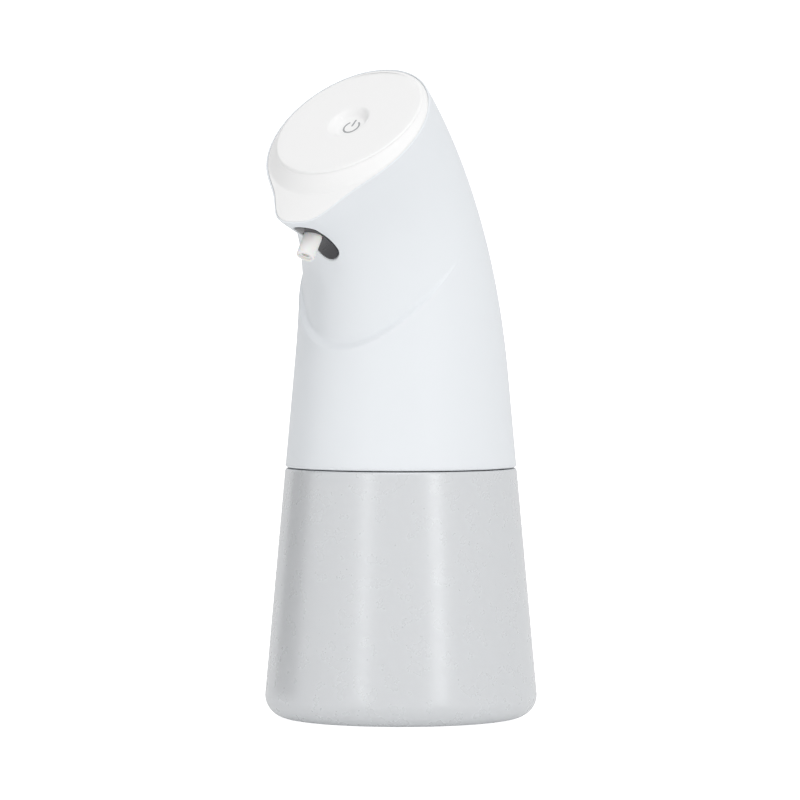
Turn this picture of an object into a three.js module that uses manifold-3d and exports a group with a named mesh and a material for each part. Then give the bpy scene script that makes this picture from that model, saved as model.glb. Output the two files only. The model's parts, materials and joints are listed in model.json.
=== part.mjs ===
// Automatic soap dispenser: a round tapered bottle, and a leaning head with a touch disc, a hand
// sensor and a small gear pump, held to the bottle's neck by a bayonet.
// Millimetres. +Z is up, -Y is the front, and the origin is the centre of the bottle's foot.

import * as THREE from 'three';
import * as BufferGeometryUtils from 'three/addons/utils/BufferGeometryUtils.js';
import Module from 'manifold-3d';

const wasm = await Module();
wasm.setup();

// ---------- driving dimensions ----------

const GAP = 0.3;                      // clearance between neighbouring pieces
const WALL = 2.2;                     // moulded wall
const FOOT_RADIUS = 42.9;             // the cone's radius at the floor
const TAPER = 0.09;                   // radius lost for each mm of height
const FOOT_ROUND = 7;                 // rounding of the foot's corner
const FLOOR_CORNER = 4;               // where the inner wall turns in to the floor
const SEAM_Z = 77.5;                  // joint line between bottle and housing
const SEAM_ROUND = 0.8;               // rounding beside the joint line

const RIM = { y: -27.6, z: 181, tilt: 45.9, radius: 27.6 };   // the housing's slanted rim
const BEAK_REACH = 11.8;              // how far the beak stands out of the rim's circle
const BEAK_HALF_ANGLE = 20.5;         // where the beak has half its reach, in degrees
const BEAK_EDGE = 3.25;               // how sharply the beak falls off around that angle
const BEAK_UNDERSIDE = 30;            // climb of the underside where it meets the beak, in degrees
const LIP = 0.9;                      // width of the housing's lip around the cap
const LIP_DRAFT = 1;                  // how much the lip thickens down to the pocket's floor

const LEDGE_Z = 154;                  // the bib-shaped ledge lies on the plane z = LEDGE_Z + LEDGE_SLOPE * y
const LEDGE_SLOPE = 1.22;
const LEDGE_DEPTH = 1.8;              // how far the throat lies behind the ledge
const LEDGE_HEIGHT = 4;               // height over which the ledge rounds in

const PANEL = { shift: -2.5, rise: 1.95, tilt: 4.7, radius: 23.9 };   // the disc's plane, from the rim's
const PANEL_THICK = 2.2;
const DISH = { radius: 7.2, flat: 4, depth: 2.3 };     // the finger dish around the touch key

const WINDOW = { y: -43.4, z: 147.5, slope: 29, length: 18.8, width: 7.3 };
const NOZZLE = { y: -45.4, z: 148.7, lean: 32.5, radius: 2.85, reach: 7.3 };

const NECK = { radius: 21.5, bore: 19.3, top: 91 };
const LUGS = { count: 3, arc: 44, height: 2.6, depth: 2.1 };
const COLLAR_BORE = NECK.radius + 2.5;
const COLLAR_OUTER = COLLAR_BORE + 1.9;
const WEB = { bottom: 93, top: 95.2 };        // the collar's closing web, above the neck

const TUBE = { radius: 3.5, bore: 2.3, foot: 9, top: 98.4 };

const GEAR = { teeth: 10, module: 0.92, height: 5.3, bore: 1.3 };
const GEAR_DISTANCE = GEAR.teeth * GEAR.module + 0.1;
const PUMP = { bottom: 95.5, top: 107, width: 38, depth: 22, corner: 4 };
const POCKET_FLOOR = 101;
const COVER_THICK = 2.7;
const COVER_BOTTOM = PUMP.top + GAP;
const COVER_TOP = COVER_BOTTOM + COVER_THICK;
const SLEEVE_TOP = 121;

const MOTOR = { radius: 10, flat: 7.6, bottom: COVER_TOP + GAP, length: 25, wall: 0.8 };
const SHAFT_RADIUS = 1;

const CELL = { width: 30, depth: 8, height: 39.5, bottom: 97.4, front: 12.3 };
const BOARD_THICK = 1.2;
const BOARD = { width: 24, y: 23, bottom: 97, top: 121 };
const PORT_Z = 100;
const PORT = { width: 9, height: 3.2, depth: 6.2 };
const FLAP = { width: 13, bottom: 96.1, top: 104.3, thick: 1 };

const WIRE_RADIUS = 0.6;

// ---------- materials ----------

function plastic(color, roughness) {
  return new THREE.MeshStandardMaterial({ color, roughness, metalness: 0 });
}

function metal(color, roughness) {
  return new THREE.MeshStandardMaterial({ color, roughness, metalness: 1 });
}

const FROSTED = plastic(0xd9dde0, 0.45);
const PALE_SHELL = plastic(0xe6ecf0, 0.22);
const WHITE_SHELL = plastic(0xf1f1f1, 0.25);
const SMOKED = plastic(0x202124, 0.15);
const MILKY = plastic(0xe8e8e6, 0.35);
const GREY_MOULDING = plastic(0x8a8f94, 0.5);
const SILICONE = plastic(0xd8dadb, 0.7);
const ACETAL = plastic(0xf3f0e6, 0.4);
const BOARD_GREEN = plastic(0x1f6b45, 0.5);
const CHIP_BLACK = plastic(0x1a1a1c, 0.45);
const CELL_FOIL = plastic(0xb8bcc2, 0.4);
const STEEL = metal(0xb9bdc2, 0.3);
const COPPER = metal(0xc07a4a, 0.35);

// ---------- the group, and how a piece is added ----------

const dispenser = new THREE.Group();

function addPart(name, geometry, material) {
  const mesh = new THREE.Mesh(geometry, material);
  mesh.name = name;
  dispenser.add(mesh);
}

// ---------- solids: merging, cutting and joining ----------

const MERGE_DISTANCE = 1e-4;

function merged(geometry) {
  const bare = geometry.clone();
  bare.deleteAttribute('normal');
  bare.deleteAttribute('uv');
  return BufferGeometryUtils.mergeVertices(bare, MERGE_DISTANCE);
}

function toSolid(geometry) {
  const closed = merged(geometry);
  return new wasm.Manifold(new wasm.Mesh({
    numProp: 3,
    vertProperties: new Float32Array(closed.attributes.position.array),
    triVerts: new Uint32Array(closed.index.array),
  }));
}

function toGeometry(solid) {
  const mesh = solid.getMesh();
  const geometry = new THREE.BufferGeometry();
  geometry.setAttribute('position', new THREE.BufferAttribute(mesh.vertProperties, 3));
  geometry.setIndex(new THREE.BufferAttribute(mesh.triVerts, 1));
  return geometry;
}

// The first geometry joined with the others in `added`, less those in `removed`.
function carve(base, { added = [], removed = [] }) {
  let solid = toSolid(base);
  for (const piece of added) {
    solid = solid.add(toSolid(piece));
  }
  for (const piece of removed) {
    solid = solid.subtract(toSolid(piece));
  }
  return toGeometry(solid);
}

function common(first, second) {
  return toGeometry(toSolid(first).intersect(toSolid(second)));
}

// ---------- simple shapes ----------

function radians(degrees) {
  return THREE.MathUtils.degToRad(degrees);
}

// A closed outline of [radius, z] points turned about the Z axis.
function turned(outline, segments = 24) {
  const points = outline.map(([radius, z]) => new THREE.Vector2(radius, z));
  if (outline[0][0] > 0) {
    points.push(points[0].clone());
  }
  const geometry = merged(new THREE.LatheGeometry(points, segments));
  geometry.rotateX(Math.PI / 2);
  return outwards(geometry);
}

function signedVolume(geometry) {
  const position = geometry.attributes.position;
  const index = geometry.index.array;
  const corners = [new THREE.Vector3(), new THREE.Vector3(), new THREE.Vector3()];
  let volume = 0;
  for (let face = 0; face < index.length; face += 3) {
    corners.forEach((corner, k) => corner.fromBufferAttribute(position, index[face + k]));
    volume += corners[0].dot(corners[1].clone().cross(corners[2])) / 6;
  }
  return volume;
}

// Turns every face around when the faces point inwards.
function outwards(geometry) {
  if (signedVolume(geometry) < 0) {
    const index = geometry.index.array;
    for (let face = 0; face < index.length; face += 3) {
      [index[face], index[face + 1]] = [index[face + 1], index[face]];
    }
  }
  return geometry;
}

function ring(inner, outer, bottom, top, segments = 24) {
  return turned([[inner, bottom], [outer, bottom], [outer, top], [inner, top]], segments);
}

function rod(radius, bottom, top, segments = 16) {
  return turned([[0, bottom], [radius, bottom], [radius, top], [0, top]], segments);
}

function block(xRange, yRange, zRange) {
  const size = [xRange, yRange, zRange].map(([low, high]) => high - low);
  const middle = [xRange, yRange, zRange].map(([low, high]) => (high + low) / 2);
  const geometry = new THREE.BoxGeometry(...size);
  geometry.translate(...middle);
  return merged(geometry);
}

function extruded(shape, bottom, top, curveSegments = 4) {
  const options = { depth: top - bottom, bevelEnabled: false, curveSegments };
  const geometry = merged(new THREE.ExtrudeGeometry(shape, options));
  geometry.translate(0, 0, bottom);
  return outwards(geometry);
}

function moved(geometry, x, y, z = 0) {
  return geometry.clone().translate(x, y, z);
}

function roundedRectangle(width, height, corner) {
  const x = width / 2 - corner;
  const y = height / 2 - corner;
  const shape = new THREE.Shape();
  shape.absarc(x, y, corner, 0, Math.PI / 2);
  shape.absarc(-x, y, corner, Math.PI / 2, Math.PI);
  shape.absarc(-x, -y, corner, Math.PI, 1.5 * Math.PI);
  shape.absarc(x, -y, corner, 1.5 * Math.PI, 2 * Math.PI);
  return shape;
}

function circle(radius) {
  const shape = new THREE.Shape();
  shape.absarc(0, 0, radius, 0, 2 * Math.PI);
  return shape;
}

// A tube, or a solid rod where bore is 0, along a smooth curve through the points.
function alongCurve(points, radius, steps, { bore = 0, sides = 8 } = {}) {
  const shape = circle(radius);
  if (bore > 0) {
    shape.holes.push(circle(bore));
  }
  const extrudePath = new THREE.CatmullRomCurve3(points.map((point) => new THREE.Vector3(...point)));
  const options = { steps, extrudePath, curveSegments: sides / 2, bevelEnabled: false };
  return outwards(merged(new THREE.ExtrudeGeometry(shape, options)));
}

// A closed skin over rings of points, all with the same number of points, with flat ends.
function loft(rings) {
  const count = rings[0].length;
  const positions = rings.flat().flatMap((point) => point.toArray());
  const faces = [];
  for (let level = 0; level + 1 < rings.length; level += 1) {
    for (let k = 0; k < count; k += 1) {
      const here = level * count + k;
      const next = level * count + ((k + 1) % count);
      faces.push(here, next, here + count, next, next + count, here + count);
    }
  }
  for (const [start, order] of [[0, 1], [(rings.length - 1) * count, -1]]) {
    const end = rings[start / count];
    const middle = end.reduce((sum, point) => sum.add(point), new THREE.Vector3()).divideScalar(count);
    const hub = positions.length / 3;
    positions.push(...middle.toArray());
    for (let k = 0; k < count; k += 1) {
      const pair = [start + k, start + ((k + 1) % count)];
      faces.push(hub, ...(order > 0 ? pair.reverse() : pair));
    }
  }
  const geometry = new THREE.BufferGeometry();
  geometry.setAttribute('position', new THREE.Float32BufferAttribute(positions, 3));
  geometry.setIndex(faces);
  return outwards(geometry);
}

// ---------- slanted planes ----------

// A plane that leans forward by `tilt` degrees: `down` runs down its front, `normal` stands on it.
function slantedPlane(y, z, tilt) {
  const angle = radians(tilt);
  return {
    origin: new THREE.Vector3(0, y, z),
    down: new THREE.Vector3(0, -Math.cos(angle), -Math.sin(angle)),
    normal: new THREE.Vector3(0, -Math.sin(angle), Math.cos(angle)),
  };
}

function onPlane(plane, azimuth, radius, { height = 0, shift = 0 } = {}) {
  const point = plane.origin.clone();
  point.addScaledVector(plane.down, shift + radius * Math.cos(azimuth));
  point.addScaledVector(plane.normal, height);
  point.x += radius * Math.sin(azimuth);
  return point;
}

// Places a shape drawn about the Z axis so that its +Z follows `normal` and its +Y runs back up the plane.
function setOnPlane(geometry, plane) {
  const matrix = new THREE.Matrix4().makeBasis(
    new THREE.Vector3(1, 0, 0),
    plane.down.clone().negate(),
    plane.normal,
  );
  matrix.setPosition(plane.origin);
  return geometry.clone().applyMatrix4(matrix);
}

const RIM_PLANE = slantedPlane(RIM.y, RIM.z, RIM.tilt);
const PANEL_PLANE = slantedPlane(0, 0, RIM.tilt - PANEL.tilt);
PANEL_PLANE.origin = onPlane(RIM_PLANE, 0, 0, { height: PANEL.rise, shift: PANEL.shift });

// The underside planes face down and forward, so they lean past upright.
const WINDOW_PLANE = slantedPlane(WINDOW.y, WINDOW.z, 180 - WINDOW.slope);
const NOZZLE_PLANE = slantedPlane(NOZZLE.y, NOZZLE.z, 180 - NOZZLE.lean);

// ---------- the body's outer surface ----------

function coneRadius(z) {
  return FOOT_RADIUS - TAPER * z;
}

// Share of the beak in the outline: 1 at the front, and fading over BEAK_HALF_ANGLE.
function beakShare(azimuth) {
  const turnedAngle = Math.atan2(Math.sin(azimuth), Math.cos(azimuth));
  return 1 / (1 + Math.abs(turnedAngle / radians(BEAK_HALF_ANGLE)) ** BEAK_EDGE);
}

function rimRadius(azimuth) {
  return RIM.radius + BEAK_REACH * beakShare(azimuth);
}

// A value that is `front` at azimuth 0, `side` at 90 degrees and `back` at 180 degrees.
function around(azimuth, front, side, back) {
  const c = Math.cos(azimuth);
  return side + ((c > 0 ? front : back) - side) * c * c;
}

// The four control points of one meridian, from the top of the cone to the rim.
function meridian(azimuth, inset) {
  const coneTop = around(azimuth, 110, 108, 106);
  const outward = new THREE.Vector3(Math.sin(azimuth), -Math.cos(azimuth), 0);
  const start = outward.clone().multiplyScalar(coneRadius(coneTop) - inset);
  start.z = coneTop;
  const upCone = outward.clone().multiplyScalar(-TAPER);
  upCone.z = 1;
  const end = onPlane(RIM_PLANE, azimuth, rimRadius(azimuth) - inset);
  const beak = beakShare(azimuth);
  const climb = radians((90 - RIM.tilt) * (1 - beak) + BEAK_UNDERSIDE * beak);
  const arrival = new THREE.Vector3(0, -Math.cos(climb), Math.sin(climb));
  const controls = [
    start,
    start.clone().addScaledVector(upCone, around(azimuth, 40, 37, 29)),
    end.clone().addScaledVector(arrival, -around(azimuth, 12, 27, 36)),
    end,
  ];
  return new THREE.CubicBezierCurve3(...controls);
}

function aboveLedge(point) {
  return point.z - (LEDGE_Z + LEDGE_SLOPE * point.y);
}

// Where a meridian crosses the ledge's plane, found by halving.
function ledgeShare(curve) {
  let low = 0;
  let high = 1;
  for (let step = 0; step < 20; step += 1) {
    const middle = (low + high) / 2;
    if (aboveLedge(curve.getPoint(middle)) < 0) {
      low = middle;
    } else {
      high = middle;
    }
  }
  return low;
}

// How much of the ledge there is at an azimuth: all of it at the front, none behind the sides.
function ledgeStrength(azimuth) {
  const turnedAngle = Math.abs(Math.atan2(Math.sin(azimuth), Math.cos(azimuth)));
  return 1 - THREE.MathUtils.smoothstep(turnedAngle, radians(40), radians(82));
}

// The rings of the body from the joint line to the rim, `inset` inside the outer surface.
function bodyRings(azimuths, inset) {
  const levelsBelow = [0.4, 0.75, 1];
  const levelsAbove = [0.1, 0.3, 0.55, 0.8, 1];
  const rings = [[], []];
  const curves = azimuths.map((azimuth) => meridian(azimuth, inset));
  azimuths.forEach((azimuth, k) => {
    const outward = new THREE.Vector3(Math.sin(azimuth), -Math.cos(azimuth), 0);
    rings[0].push(outward.clone().multiplyScalar(coneRadius(SEAM_Z) - inset).setZ(SEAM_Z));
    rings[1].push(curves[k].getPoint(0));
  });
  const ledges = curves.map(ledgeShare);
  for (const level of levelsBelow) {
    rings.push(curves.map((curve, k) => curve.getPoint(ledges[k] * level)));
  }
  for (const level of levelsAbove) {
    rings.push(azimuths.map((azimuth, k) => {
      const share = ledges[k] + (1 - ledges[k]) * level;
      const point = curves[k].getPoint(share);
      const rounding = THREE.MathUtils.smoothstep(aboveLedge(point), 0, LEDGE_HEIGHT);
      const depth = LEDGE_DEPTH * ledgeStrength(azimuth) * rounding * (1 - level);
      point.x -= depth * Math.sin(azimuth);
      point.y += depth * Math.cos(azimuth);
      return point;
    }));
  }
  return rings;
}

// Azimuths around the body, closer together over the beak.
function bodyAzimuths() {
  const frontSpan = 45;
  const frontSteps = 18;
  const backSteps = 28;
  const list = [];
  for (let k = 0; k < frontSteps; k += 1) {
    list.push(radians(-frontSpan + (2 * frontSpan * k) / frontSteps));
  }
  for (let k = 0; k < backSteps; k += 1) {
    list.push(radians(frontSpan + ((360 - 2 * frontSpan) * k) / backSteps));
  }
  return list;
}

const AZIMUTHS = bodyAzimuths();

function rimOutline(margin, height) {
  return AZIMUTHS.map((azimuth) => onPlane(RIM_PLANE, azimuth, rimRadius(azimuth) - margin, { height }));
}

function lifted(points, distance) {
  return points.map((point) => point.clone().addScaledVector(RIM_PLANE.normal, distance));
}

function raised(points, distance) {
  return points.map((point) => point.clone().setZ(point.z + distance));
}

// ---------- housing ----------

function bodySolid(inset) {
  const rings = bodyRings(AZIMUTHS, inset);
  rings.unshift(raised(rings[0], -SEAM_ROUND));
  rings.push(lifted(rings[rings.length - 1], SEAM_ROUND));
  return loft(rings);
}

const BOSS = { radius: 2.6, hole: 1.6, circle: 28.6, bottom: 93.3, top: 99.5 };
const BOSS_AZIMUTHS = [0, 115, -115].map(radians);

function aroundBosses(geometry) {
  return BOSS_AZIMUTHS.map((azimuth) => (
    moved(geometry, BOSS.circle * Math.sin(azimuth), -BOSS.circle * Math.cos(azimuth))
  ));
}

function windowOval(margin, outside, inside) {
  const width = WINDOW.width + 2 * margin;
  const length = WINDOW.length + 2 * margin;
  const almostRound = 0.99;
  const oval = roundedRectangle(width, length, (almostRound * width) / 2);
  return setOnPlane(extruded(oval, -inside, outside, 6), WINDOW_PLANE);
}

function portRecess() {
  const outer = coneRadius(FLAP.bottom) + 2;
  const width = FLAP.width / 2 + GAP;
  const flatBack = coneRadius(FLAP.top) - FLAP.thick - GAP;
  const recess = block([-width, width], [flatBack, outer], [FLAP.bottom - GAP, FLAP.top + GAP]);
  const mouth = block(
    [-PORT.width / 2 - GAP, PORT.width / 2 + GAP],
    [coneRadius(PORT_Z) - 2 * WALL, outer],
    [PORT_Z - PORT.height / 2 - GAP, PORT_Z + PORT.height / 2 + 2 * GAP],
  );
  return [recess, mouth];
}

function housing() {
  const outerRings = bodyRings(AZIMUTHS, 0);
  const seam = outerRings[0];
  const roundedSeam = seam.map((point) => {
    const shrink = 1 - SEAM_ROUND / coneRadius(SEAM_Z);
    return new THREE.Vector3(point.x * shrink, point.y * shrink, SEAM_Z + GAP / 2);
  });
  outerRings[0] = raised(seam, SEAM_ROUND + GAP / 2);
  const topRing = outerRings.pop();
  outerRings.push(lifted(topRing, -SEAM_ROUND / 2));
  const outer = loft([roundedSeam, ...outerRings, rimOutline(SEAM_ROUND / 2, 0)]);
  const bosses = aroundBosses(rod(BOSS.radius, BOSS.bottom, BOSS.top, 12));
  const middleOfWall = coneRadius(BOSS.top) - WALL / 2;
  const bossLinks = BOSS_AZIMUTHS.map((azimuth) => (
    block(
      [-BOSS.radius / 2, BOSS.radius / 2],
      [-middleOfWall, -BOSS.circle],
      [BOSS.bottom, BOSS.top],
    ).rotateZ(azimuth)
  ));
  const pocketDepth = 2.8;
  const pocket = loft([
    rimOutline(LIP - GAP + LIP_DRAFT, -pocketDepth),
    rimOutline(LIP - GAP, -GAP),
    rimOutline(LIP - GAP, 2),
  ]);
  const shell = carve(outer, { removed: [bodySolid(WALL), pocket] });
  return carve(shell, {
    added: [...bosses, ...bossLinks],
    removed: [
      ...aroundBosses(rod(BOSS.hole, BOSS.bottom - 1, BOSS.top - 1.2, 10)),
      windowOval(GAP, 6, 2 * WALL),
      ...portRecess(),
    ],
  });
}

addPart('housing', housing(), PALE_SHELL);

// ---------- cap: the plate with the beak, and the raised ring for the disc ----------

const PLATE_THICK = 2.2;
const RISER = { shift: 0.5, radius: 26.5 };
const PANEL_BORE = PANEL.radius - 0.8;
const PANEL_LEDGE = PANEL_BORE - 1.8;

function planeCircle(plane, radius, height, shift = 0) {
  return AZIMUTHS.map((azimuth) => onPlane(plane, azimuth, radius, { height, shift }));
}

function topCap() {
  const plate = loft([
    rimOutline(LIP + LIP_DRAFT, -PLATE_THICK),
    rimOutline(LIP, -GAP),
    rimOutline(LIP + GAP, 0),
    planeCircle(RIM_PLANE, RISER.radius - GAP, 0.05, RISER.shift),
    planeCircle(PANEL_PLANE, PANEL.radius, -GAP),
    planeCircle(PANEL_PLANE, PANEL.radius - GAP, 0),
  ]);
  const hollow = loft([
    planeCircle(RIM_PLANE, RISER.radius - 2.4, -2 * PLATE_THICK, RISER.shift),
    planeCircle(RIM_PLANE, RISER.radius - 2.4, -GAP, RISER.shift),
    planeCircle(PANEL_PLANE, PANEL_LEDGE, -2 * PANEL_THICK + GAP),
  ]);
  const panelSeat = loft([
    planeCircle(PANEL_PLANE, PANEL_BORE, -PANEL_THICK - GAP),
    planeCircle(PANEL_PLANE, PANEL_BORE, 3),
  ]);
  const opening = loft([
    planeCircle(PANEL_PLANE, PANEL_LEDGE, -9),
    planeCircle(PANEL_PLANE, PANEL_LEDGE, 3),
  ]);
  return carve(plate, { removed: [hollow, panelSeat, opening] });
}

addPart('top_cap', topCap(), WHITE_SHELL);

// ---------- touch panel: the disc with its finger dish ----------

const STAKES = [-14, 14];

function touchPanel() {
  const outer = PANEL_BORE - GAP;
  const dishWall = 1.6;
  const steps = 5;
  const dish = [[0, -DISH.depth]];
  for (let k = 0; k <= steps; k += 1) {
    const radius = DISH.flat + ((DISH.radius - DISH.flat) * k) / steps;
    const rise = THREE.MathUtils.smoothstep(radius, DISH.flat, DISH.radius);
    dish.push([radius, DISH.depth * (rise - 1)]);
  }
  const outline = [
    ...dish,
    [outer - GAP, 0], [outer, -GAP], [outer, -PANEL_THICK], [DISH.radius + dishWall, -PANEL_THICK],
    [DISH.flat + dishWall, -DISH.depth - dishWall], [0, -DISH.depth - dishWall],
  ];
  const stakes = STAKES.map((x) => moved(rod(0.9, -8, -PANEL_THICK + GAP, 8), x, 0));
  return setOnPlane(carve(turned(outline, 32), { added: stakes }), PANEL_PLANE);
}

addPart('touch_panel', touchPanel(), WHITE_SHELL);

// ---------- touch board, electrode, light and its shroud, under the panel ----------

const TOUCH_BOARD_TOP = -6;

function onPanel(geometry) {
  return setOnPlane(geometry, PANEL_PLANE);
}

function touchBoard() {
  const holes = STAKES.map((x) => moved(rod(0.9 + GAP, -9, -5, 8), x, 0));
  const disc = rod(18, TOUCH_BOARD_TOP - BOARD_THICK, TOUCH_BOARD_TOP, 32);
  return onPanel(carve(disc, { removed: holes }));
}

addPart('touch_board', touchBoard(), BOARD_GREEN);
addPart('touch_electrode', onPanel(ring(5, 9, TOUCH_BOARD_TOP + 0.1, TOUCH_BOARD_TOP + 0.5, 24)), COPPER);
addPart('light_shroud', onPanel(ring(2.8, 3.6, TOUCH_BOARD_TOP + 0.1, TOUCH_BOARD_TOP + 1.5, 16)), MILKY);
addPart(
  'status_light',
  onPanel(block([-1, 1], [-0.8, 0.8], [TOUCH_BOARD_TOP + 0.1, TOUCH_BOARD_TOP + 0.9])),
  MILKY,
);

// ---------- nozzle ----------

const NOZZLE_BORE = 1.2;
const BARB = { radius: 1.9, top: -9.4 };

function nozzle() {
  const inner = -3.6;
  const flange = NOZZLE.radius + 0.9;
  const outline = [
    [NOZZLE_BORE, BARB.top], [BARB.radius, BARB.top], [BARB.radius, inner],
    [flange, inner], [flange, inner + 0.9], [NOZZLE.radius, inner + 0.9],
    [NOZZLE.radius, NOZZLE.reach - 0.5], [NOZZLE.radius - 0.4, NOZZLE.reach],
    [NOZZLE.radius - 0.8, NOZZLE.reach], [NOZZLE.radius - 0.9, NOZZLE.reach - 0.8],
    [NOZZLE_BORE, NOZZLE.reach - 0.8],
  ];
  return setOnPlane(turned(outline, 16), NOZZLE_PLANE);
}

addPart('nozzle', nozzle(), MILKY);

// ---------- sensor window: flush with the underside, with a hole for the nozzle ----------

function sensorWindow() {
  const flush = common(windowOval(0, 6, WALL), bodySolid(0.15));
  const hole = setOnPlane(rod(NOZZLE.radius + GAP, -8, 8, 20), NOZZLE_PLANE);
  return carve(flush, { removed: [hole] });
}

addPart('sensor_window', sensorWindow(), SMOKED);

// ---------- hand sensor behind the window ----------

const SENSOR_SHIFT = -5.2;            // behind the nozzle, along the window
const SENSOR_BOARD_HEIGHT = -7.6;

function onWindow(geometry) {
  return setOnPlane(moved(geometry, 0, SENSOR_SHIFT), WINDOW_PLANE);
}

function infraredLight() {
  const foot = SENSOR_BOARD_HEIGHT + 0.2;
  return turned([[0, foot], [1.5, foot], [1.5, -4.4], [0.9, -3.2], [0, -2.9]], 12);
}

addPart(
  'sensor_board',
  onWindow(block([-7, 7], [-3.6, 3.6], [SENSOR_BOARD_HEIGHT - BOARD_THICK, SENSOR_BOARD_HEIGHT])),
  BOARD_GREEN,
);
addPart('ir_emitter', onWindow(moved(infraredLight(), -3.2, 0)), SMOKED);
addPart('ir_receiver', onWindow(moved(infraredLight(), 3.2, 0)), CHIP_BLACK);

// ---------- bottle ----------

const BOTTLE_TOP = SEAM_Z - GAP / 2;

// One lug, as a wedge of a ring: `from` and `to` are radii.
function lug(from, to, bottom, top, middleAzimuth) {
  const half = radians(LUGS.arc) / 2;
  const shape = new THREE.Shape();
  shape.absarc(0, 0, to, -half, half, false);
  shape.absarc(0, 0, from, half, -half, true);
  return extruded(shape, bottom, top, 6).rotateZ(middleAzimuth);
}

function lugRing(from, to, bottom, top, firstAzimuth) {
  const step = (2 * Math.PI) / LUGS.count;
  return Array.from({ length: LUGS.count }, (_, k) => lug(from, to, bottom, top, firstAzimuth + k * step));
}

const NECK_LUG_BOTTOM = 84.8;

function bottle() {
  const outline = [[0, 0], [FOOT_RADIUS - FOOT_ROUND, 0]];
  const steps = 5;
  for (let k = 1; k <= steps; k += 1) {
    const angle = (Math.PI / 2) * (k / steps);
    const radius = coneRadius(FOOT_ROUND) - FOOT_ROUND + FOOT_ROUND * Math.sin(angle);
    outline.push([radius, FOOT_ROUND * (1 - Math.cos(angle))]);
  }
  const shoulder = coneRadius(BOTTLE_TOP);
  outline.push(
    [shoulder, BOTTLE_TOP - SEAM_ROUND], [shoulder - SEAM_ROUND, BOTTLE_TOP],
    [NECK.radius, BOTTLE_TOP], [NECK.radius, NECK.top],
    [NECK.bore, NECK.top], [NECK.bore, BOTTLE_TOP - WALL], [shoulder - WALL - 2, BOTTLE_TOP - WALL],
    [shoulder - WALL, BOTTLE_TOP - WALL - 2], [coneRadius(FLOOR_CORNER) - WALL - 1, FLOOR_CORNER],
    [FOOT_RADIUS - FOOT_ROUND, WALL], [0, WALL],
  );
  const lugs = lugRing(
    NECK.radius - 0.5,
    NECK.radius + LUGS.depth,
    NECK_LUG_BOTTOM,
    NECK_LUG_BOTTOM + LUGS.height,
    0,
  );
  return carve(turned(outline, 40), { added: lugs });
}

addPart('bottle', bottle(), FROSTED);

// ---------- neck seal and bayonet collar ----------

addPart(
  'neck_seal',
  ring(NECK.bore + 0.2, NECK.radius + 1.6, NECK.top + 0.2, WEB.bottom - GAP, 32),
  SILICONE,
);

const COLLAR = { bottom: 79, flangeBottom: 90, flangeTop: 93, flangeRadius: 31.6 };
const PUMP_SCREWS = [[-15.6, -7.6], [15.6, -7.6], [15.6, 7.6], [-15.6, 7.6]];
const SCREW = { shank: 1.3, head: 2.4, headHeight: 1.7 };

function bayonetCollar() {
  const outline = [
    [COLLAR_BORE, COLLAR.bottom], [COLLAR_OUTER, COLLAR.bottom], [COLLAR_OUTER, COLLAR.flangeBottom],
    [COLLAR.flangeRadius, COLLAR.flangeBottom], [COLLAR.flangeRadius, COLLAR.flangeTop],
    [COLLAR_OUTER, COLLAR.flangeTop], [COLLAR_OUTER, WEB.top],
    [TUBE.radius + GAP, WEB.top], [TUBE.radius + GAP, WEB.bottom], [COLLAR_BORE, WEB.bottom],
  ];
  const lugTop = NECK_LUG_BOTTOM - GAP;
  const lugs = lugRing(
    NECK.radius + GAP,
    COLLAR_BORE + 0.5,
    lugTop - LUGS.height,
    lugTop,
    0,
  );
  const screwHoles = PUMP_SCREWS.map(([x, y]) => (
    moved(rod(SCREW.shank + GAP, WEB.bottom - 1, WEB.top + 1, 8), x, y)
  ));
  const flangeHoles = aroundBosses(rod(SCREW.shank + GAP, COLLAR.flangeBottom - 1, COLLAR.flangeTop + 1, 8));
  return carve(turned(outline, 40), { added: lugs, removed: [...screwHoles, ...flangeHoles] });
}

addPart('bayonet_collar', bayonetCollar(), GREY_MOULDING);

// ---------- screws ----------

// A slotted screw about the Z axis, its head on top of `seat` and its point down at `tip`.
function screw(seat, tip, { shank = SCREW.shank, head = SCREW.head, headHeight = SCREW.headHeight } = {}) {
  const body = turned([
    [0, tip], [shank / 2, tip], [shank, tip + shank], [shank, seat],
    [head, seat], [head, seat + headHeight * 0.6], [head * 0.7, seat + headHeight], [0, seat + headHeight],
  ], 8);
  const slotDepth = headHeight * 0.6;
  const slot = block([-head, head], [-0.3, 0.3], [seat + headHeight - slotDepth, seat + headHeight + 1]);
  return carve(body, { removed: [slot] });
}

PUMP_SCREWS.forEach(([x, y], k) => {
  addPart(`pump_screw_${k + 1}`, moved(screw(COVER_TOP + 0.1, WEB.bottom + 0.4), x, y), STEEL);
});

// The collar's screws point up, so they are turned over about the X axis.
aroundBosses(screw(-COLLAR.flangeBottom + 0.1, -BOSS.top + 1.6).rotateX(Math.PI)).forEach((geometry, k) => {
  addPart(`collar_screw_${k + 1}`, geometry, STEEL);
});

// ---------- dip tube and strainer ----------

addPart('dip_tube', ring(TUBE.bore, TUBE.radius, TUBE.foot, TUBE.top, 16), MILKY);

function inletStrainer() {
  const floor = WALL + 1.6;
  const outer = TUBE.radius + GAP + 1.2;
  const cup = turned([
    [0, floor], [outer, floor], [outer, TUBE.foot + 5], [TUBE.radius + GAP, TUBE.foot + 5],
    [TUBE.radius + GAP, TUBE.foot - GAP], [TUBE.radius - 0.4, TUBE.foot - GAP],
    [TUBE.radius - 0.4, floor + 1], [0, floor + 1],
  ], 16);
  const slots = [0, 1, 2].map((k) => (
    block([-10, 10], [-0.6, 0.6], [floor + 1, TUBE.foot - 1]).rotateZ((k * Math.PI) / 3)
  ));
  return carve(cup, { removed: slots });
}

addPart('inlet_strainer', inletStrainer(), ACETAL);

// ---------- gear pump ----------

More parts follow.
